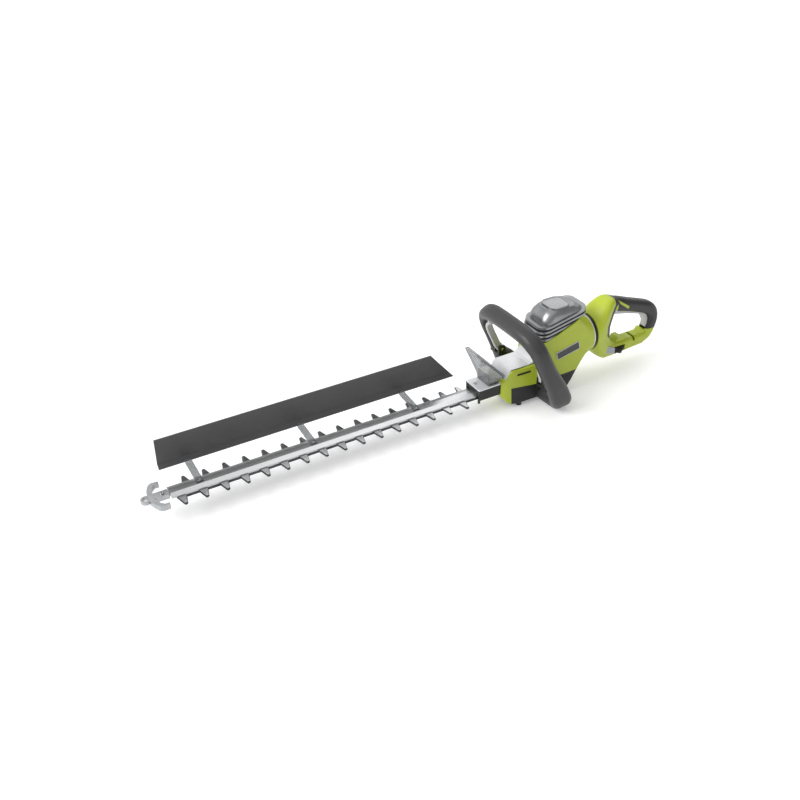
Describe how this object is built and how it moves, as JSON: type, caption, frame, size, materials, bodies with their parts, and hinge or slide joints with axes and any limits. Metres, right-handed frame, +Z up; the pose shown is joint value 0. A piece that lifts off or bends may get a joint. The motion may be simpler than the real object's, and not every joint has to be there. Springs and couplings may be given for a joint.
{
  "type": "hedge trimmer",
  "caption": "Corded hedge trimmer with a long double-sided reciprocating blade, finned motor cap, looped front handle and swivelling rear handle with a trigger.",
  "frame": {"origin": "on the floor, under the centre of the bounding box", "axes": "+X forward along the blade to its tip, +Y to the operator's left, +Z up"},
  "size_m": [1.202, 0.2313, 0.2069],
  "materials": {
    "blade_steel": "ground flanks",
    "bar_steel": "satin",
    "fastener_steel": "zinc plated",
    "gear_steel": "oiled",
    "bearing_steel": "polished",
    "lamination": "dull",
    "copper": "machined",
    "carbon": "sooty",
    "cast_grey": "cast",
    "bright_cover": "satin",
    "cap_metal": "metallic dark grey",
    "badge_metal": "metallic mid grey",
    "badge_plastic": "gloss black",
    "lime_plastic": "fine texture",
    "black_plastic": "fine texture",
    "grip_plastic": "soft sheen",
    "lever_plastic": "satin grey",
    "soft_rubber": "matte",
    "clear_plastic": "clear smoky",
    "sweep_plastic": "sheen"
  },
  "bodies": {
    "machine": {"blade_bar": "bar_steel", "bar_screws": "fastener_steel", "bar_bushes": "fastener_steel", "tip_protector": "cast_grey", "tip_screw": "fastener_steel", "sweep_plate": "sweep_plastic", "sweep_clips": "clear_plastic", "sweep_screws": "fastener_steel", "blade_bracket": "black_plastic", "bracket_plate": "bright_cover", "bracket_screws": "fastener_steel", "hand_guard": "clear_plastic", "gear_case": "cast_grey", "gear_plate": "cast_grey", "bearing_plate": "cast_grey", "case_screws": "fastener_steel", "ball_bearings": "bearing_steel", "idler_bearings": "bearing_steel", "stator": "lamination", "brush_bridge": "black_plastic", "carbon_brushes": "carbon", "left_shell": "lime_plastic", "right_shell": "lime_plastic", "lower_housing": "black_plastic", "rubber_feet": "soft_rubber", "vent_panels": "black_plastic", "side_badges": "badge_plastic", "gear_cover": "bright_cover", "cover_gasket": "soft_rubber", "cover_screws": "fastener_steel", "motor_cap": "cap_metal", "cap_badge": "badge_metal", "swivel_collar": "black_plastic", "swivel_trim": "bright_cover", "front_handle_front": "grip_plastic", "front_handle_rear": "grip_plastic", "front_handle_screws": "fastener_steel", "bail_brackets": "black_plastic", "bail_pins": "fastener_steel"},
    "upper_cutter": {"upper_blade": "blade_steel"},
    "lower_cutter": {"lower_blade": "blade_steel"},
    "crank": {"crank_gear": "gear_steel", "crank_shaft": "gear_steel", "crank_cams": "gear_steel"},
    "idler": {"idler_gear": "gear_steel", "idler_shaft": "gear_steel"},
    "rotor": {"rotor_shaft": "gear_steel", "armature": "lamination", "commutator": "copper", "cooling_fan": "black_plastic"},
    "front_bail": {"switch_bail": "lever_plastic"},
    "rear_grip": {"rear_handle_left": "lime_plastic", "rear_handle_right": "lime_plastic", "grip_overmould": "soft_rubber", "trigger_pin": "fastener_steel", "trigger_switch": "black_plastic", "cord_gland": "soft_rubber", "label_plate": "badge_plastic"},
    "trigger": {"rear_trigger": "lever_plastic"},
    "swivel_release": {"release_slider": "black_plastic"}
  },
  "joints": [
    {"name": "upper_blade_stroke", "type": "slide", "parent": "machine", "child": "upper_cutter", "axis": [1, 0, 0], "range_m": [-0.008, 0.008]},
    {"name": "lower_blade_stroke", "type": "slide", "parent": "machine", "child": "lower_cutter", "axis": [1, 0, 0], "range_m": [-0.008, 0.008]},
    {"name": "rotor_spin", "type": "hinge", "parent": "machine", "child": "rotor", "pos_m": [-0.3015, 0, 0.125], "axis": [0, 0, 1], "continuous": true},
    {"name": "idler_spin", "type": "hinge", "parent": "machine", "child": "idler", "pos_m": [-0.2655, 0, 0.063], "axis": [0, 0, 1], "continuous": true},
    {"name": "crank_spin", "type": "hinge", "parent": "machine", "child": "crank", "pos_m": [-0.228, 0, 0.055], "axis": [0, 0, 1], "continuous": true},
    {"name": "bail_squeeze", "type": "hinge", "parent": "machine", "child": "front_bail", "pos_m": [-0.23, 0, 0.081], "axis": [0, 1, 0], "range_deg": [0, 3.5], "stiffness_Nm_per_rad": 4, "springref_deg": -6.88},
    {"name": "handle_swivel", "type": "hinge", "parent": "machine", "child": "rear_grip", "pos_m": [-0.39, 0, 0.112], "axis": [1, 0, 0], "range_deg": [-90, 90]},
    {"name": "trigger_pull", "type": "hinge", "parent": "rear_grip", "child": "trigger", "pos_m": [-0.47, 0, 0.1485], "axis": [0, 1, 0], "range_deg": [0, 4], "stiffness_Nm_per_rad": 4, "springref_deg": -8.59},
    {"name": "release_slide", "type": "slide", "parent": "rear_grip", "child": "swivel_release", "axis": [-1, 0, 0], "range_m": [0, 0.005], "stiffness_N_per_m": 400, "springref_m": -0.004}
  ],
  "couplings": [
    {"joint": "lower_blade_stroke", "follows": "upper_blade_stroke", "ratio": -1},
    {"joint": "idler_spin", "follows": "rotor_spin", "ratio": -0.24138},
    {"joint": "crank_spin", "follows": "rotor_spin", "ratio": 0.10345}
  ]
}
